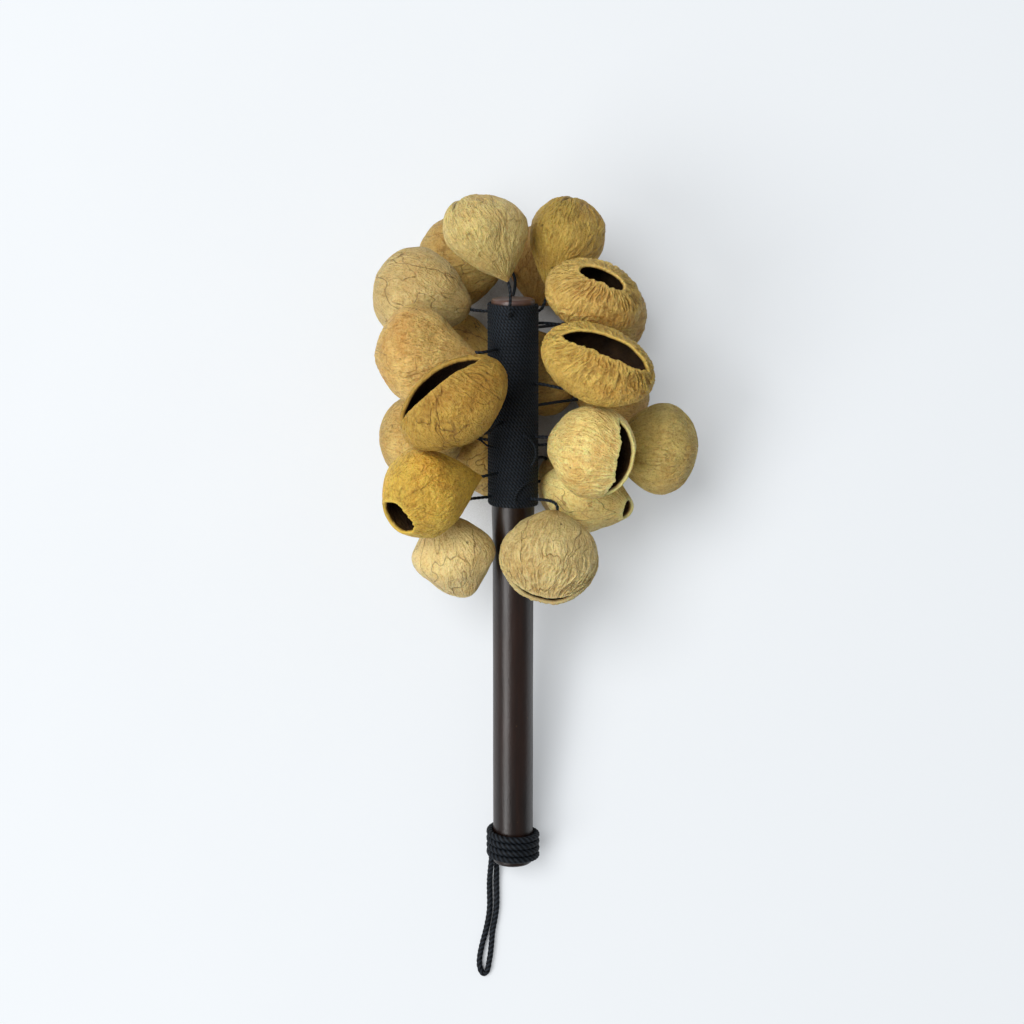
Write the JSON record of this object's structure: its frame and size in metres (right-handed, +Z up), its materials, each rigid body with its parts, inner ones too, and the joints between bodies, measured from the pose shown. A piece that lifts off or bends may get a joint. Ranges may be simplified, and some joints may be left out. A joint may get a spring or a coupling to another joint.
{
  "type": "seed pod shaker",
  "caption": "Handheld rattle: hollow dry seed shells tied in a cluster round the twine-bound head of a dark turned stick, with a cord band and wrist loop at its butt.",
  "frame": {"origin": "on the table, below the middle of the object without its wrist loop", "axes": "+Y from the butt to the head, +Z up from the table it lies on"},
  "size_m": [0.1584, 0.3902, 0.1233],
  "materials": {
    "stained_wood": "dark stained, satin",
    "twine": "twisted black twine",
    "cord": "twisted black cord",
    "shell_tan": "dry wrinkled shell, half gloss",
    "shell_pale": "dry wrinkled shell, half gloss",
    "shell_brown": "dry wrinkled shell, half gloss"
  },
  "bodies": {
    "stick": {"stick": "stained_wood", "head_binding": "twine", "butt_band": "cord", "wrist_loop": "cord"},
    "pod_01": {"seed_pod_01": "shell_tan", "pod_tie_01": "twine"},
    "pod_02": {"seed_pod_02": "shell_brown", "pod_tie_02": "twine"},
    "pod_03": {"seed_pod_03": "shell_tan", "pod_tie_03": "twine"},
    "pod_04": {"seed_pod_04": "shell_tan", "pod_tie_04": "twine"},
    "pod_05": {"seed_pod_05": "shell_brown", "pod_tie_05": "twine"},
    "pod_06": {"seed_pod_06": "shell_tan", "pod_tie_06": "twine"},
    "pod_07": {"seed_pod_07": "shell_pale", "pod_tie_07": "twine"},
    "pod_08": {"seed_pod_08": "shell_brown", "pod_tie_08": "twine"},
    "pod_09": {"seed_pod_09": "shell_brown", "pod_tie_09": "twine"},
    "pod_10": {"seed_pod_10": "shell_pale", "pod_tie_10": "twine"},
    "pod_11": {"seed_pod_11": "shell_brown", "pod_tie_11": "twine"},
    "pod_12": {"seed_pod_12": "shell_pale", "pod_tie_12": "twine"},
    "pod_13": {"seed_pod_13": "shell_tan", "pod_tie_13": "twine"},
    "pod_14": {"seed_pod_14": "shell_tan", "pod_tie_14": "twine"},
    "pod_15": {"seed_pod_15": "shell_tan", "pod_tie_15": "twine"},
    "pod_16": {"seed_pod_16": "shell_tan", "pod_tie_16": "twine"},
    "pod_17": {"seed_pod_17": "shell_tan", "pod_tie_17": "twine"},
    "pod_18": {"seed_pod_18": "shell_tan", "pod_tie_18": "twine"},
    "pod_19": {"seed_pod_19": "shell_tan", "pod_tie_19": "twine"},
    "pod_20": {"seed_pod_20": "shell_tan", "pod_tie_20": "twine"},
    "pod_21": {"seed_pod_21": "shell_tan", "pod_tie_21": "twine"},
    "pod_22": {"seed_pod_22": "shell_tan", "pod_tie_22": "twine"}
  },
  "joints": [
    {"name": "swing_01", "type": "hinge", "parent": "stick", "child": "pod_01", "pos_m": [-0.01256, 0.10555, 0.08129], "axis": [0.9674, 0.2481, 0.0513], "range_deg": [0, 25]},
    {"name": "swing_02", "type": "hinge", "parent": "stick", "child": "pod_02", "pos_m": [0.00088, 0.10963, 0.0616], "axis": [-0.1022, -0.0413, -0.9939], "range_deg": [0, 10]},
    {"name": "swing_03", "type": "hinge", "parent": "stick", "child": "pod_03", "pos_m": [-0.02259, 0.10961, 0.06168], "axis": [0.3244, 0.607, -0.7255], "range_deg": [0, 22]},
    {"name": "swing_04", "type": "hinge", "parent": "stick", "child": "pod_04", "pos_m": [-0.01878, 0.09007, 0.07556], "axis": [-0.1749, 0.6544, -0.7357], "range_deg": [0, 25]},
    {"name": "swing_05", "type": "hinge", "parent": "stick", "child": "pod_05", "pos_m": [-0.01692, 0.05481, 0.06942], "axis": [0.5589, 0.8121, 0.168], "range_deg": [0, 20]},
    {"name": "swing_06", "type": "hinge", "parent": "stick", "child": "pod_06", "pos_m": [-0.01935, 0.03107, 0.0629], "axis": [0.1649, 0.7966, 0.5816], "range_deg": [0, 18]},
    {"name": "swing_07", "type": "hinge", "parent": "stick", "child": "pod_07", "pos_m": [-0.02308, 0.01986, 0.0557], "axis": [-0.6938, 0.4161, 0.5878], "range_deg": [0, 8]},
    {"name": "swing_08", "type": "hinge", "parent": "stick", "child": "pod_08", "pos_m": [0.00242, 0.10362, 0.06463], "axis": [-0.0914, -0.761, 0.6423], "range_deg": [0, 18]},
    {"name": "swing_09", "type": "hinge", "parent": "stick", "child": "pod_09", "pos_m": [0.00102, 0.07415, 0.0677], "axis": [-0.3438, -0.8161, 0.4645], "range_deg": [0, 25]},
    {"name": "swing_10", "type": "hinge", "parent": "stick", "child": "pod_10", "pos_m": [0.00071, 0.04894, 0.06304], "axis": [-0.1249, -0.9716, -0.201], "range_deg": [0, 25]},
    {"name": "swing_11", "type": "hinge", "parent": "stick", "child": "pod_11", "pos_m": [0.00256, 0.04525, 0.05342], "axis": [0.0039, -0.6654, 0.7464], "range_deg": [0, 20]},
    {"name": "swing_12", "type": "hinge", "parent": "stick", "child": "pod_12", "pos_m": [0.00096, 0.0275, 0.04477], "axis": [0.2548, 0.1373, -0.9572], "range_deg": [0, 10]},
    {"name": "swing_13", "type": "hinge", "parent": "stick", "child": "pod_13", "pos_m": [-0.00147, 0.01904, 0.05965], "axis": [-0.9504, -0.3045, -0.063], "range_deg": [0, 20]},
    {"name": "swing_14", "type": "hinge", "parent": "stick", "child": "pod_14", "pos_m": [-0.01224, 0.11099, 0.05503], "axis": [0.8351, 0.1063, -0.5397], "range_deg": [0, 20]},
    {"name": "swing_15", "type": "hinge", "parent": "stick", "child": "pod_15", "pos_m": [-0.00796, 0.10921, 0.0549], "axis": [-0.799, 0.5888, 0.1218], "range_deg": [0, 6]},
    {"name": "swing_16", "type": "hinge", "parent": "stick", "child": "pod_16", "pos_m": [-0.01381, 0.08336, 0.04958], "axis": [-0.6667, 0.3776, 0.6425], "range_deg": [0, 10]},
    {"name": "swing_17", "type": "hinge", "parent": "stick", "child": "pod_17", "pos_m": [-0.00235, 0.10187, 0.05613], "axis": [0.0761, -0.9764, -0.202], "range_deg": [0, 25]},
    {"name": "swing_18", "type": "hinge", "parent": "stick", "child": "pod_18", "pos_m": [-0.00081, 0.06451, 0.0499], "axis": [0, -0.9793, -0.2026], "range_deg": [0, 8]},
    {"name": "swing_19", "type": "hinge", "parent": "stick", "child": "pod_19", "pos_m": [-0.02232, 0.04786, 0.04843], "axis": [-0.3036, 0.3075, 0.9018], "range_deg": [0, 25]},
    {"name": "swing_20", "type": "hinge", "parent": "stick", "child": "pod_20", "pos_m": [-0.01019, 0.04904, 0.04215], "axis": [0.7803, -0.6125, -0.1267], "range_deg": [0, 12]},
    {"name": "swing_21", "type": "hinge", "parent": "stick", "child": "pod_21", "pos_m": [-0.00291, 0.0368, 0.04223], "axis": [-0.5904, 0.448, -0.6714], "range_deg": [0, 16]},
    {"name": "swing_22", "type": "hinge", "parent": "stick", "child": "pod_22", "pos_m": [-0.01178, 0.07041, 0.04659], "axis": [-0.8961, 0.2639, -0.357], "range_deg": [0, 8]}
  ]
}
